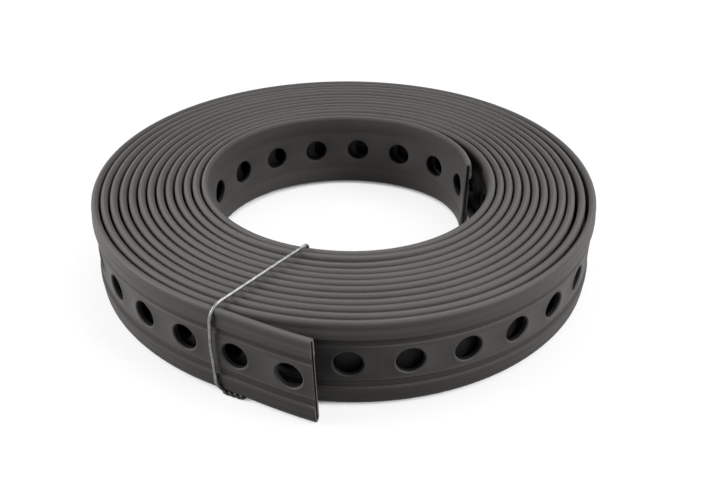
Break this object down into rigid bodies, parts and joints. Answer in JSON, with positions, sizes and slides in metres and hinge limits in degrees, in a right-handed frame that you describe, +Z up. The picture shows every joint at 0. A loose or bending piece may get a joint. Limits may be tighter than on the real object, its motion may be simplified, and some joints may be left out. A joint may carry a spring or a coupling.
{
  "type": "tensioning strap",
  "caption": "Flat-lying coil of plastic-coated perforated steel band with ridged edges and a straight free end, tied with one galvanized wire.",
  "frame": {"origin": "on the axis of the outermost turn, at the level of the floor the coil lies on", "axes": "+Z up along the axis of the coil; the straight free end runs along +X at the -Y side, and its outer face looks towards -Y"},
  "size_m": [0.161, 0.1645, 0.0293],
  "materials": {
    "coating": "matte extruded plastic, warm dark grey",
    "steel_core": "sheared edge of galvanized strip",
    "wire": "galvanized wire"
  },
  "bodies": {
    "root": {"strap": "coating", "steel_band": "steel_core", "tie_wire": "wire"}
  },
  "joints": []
}
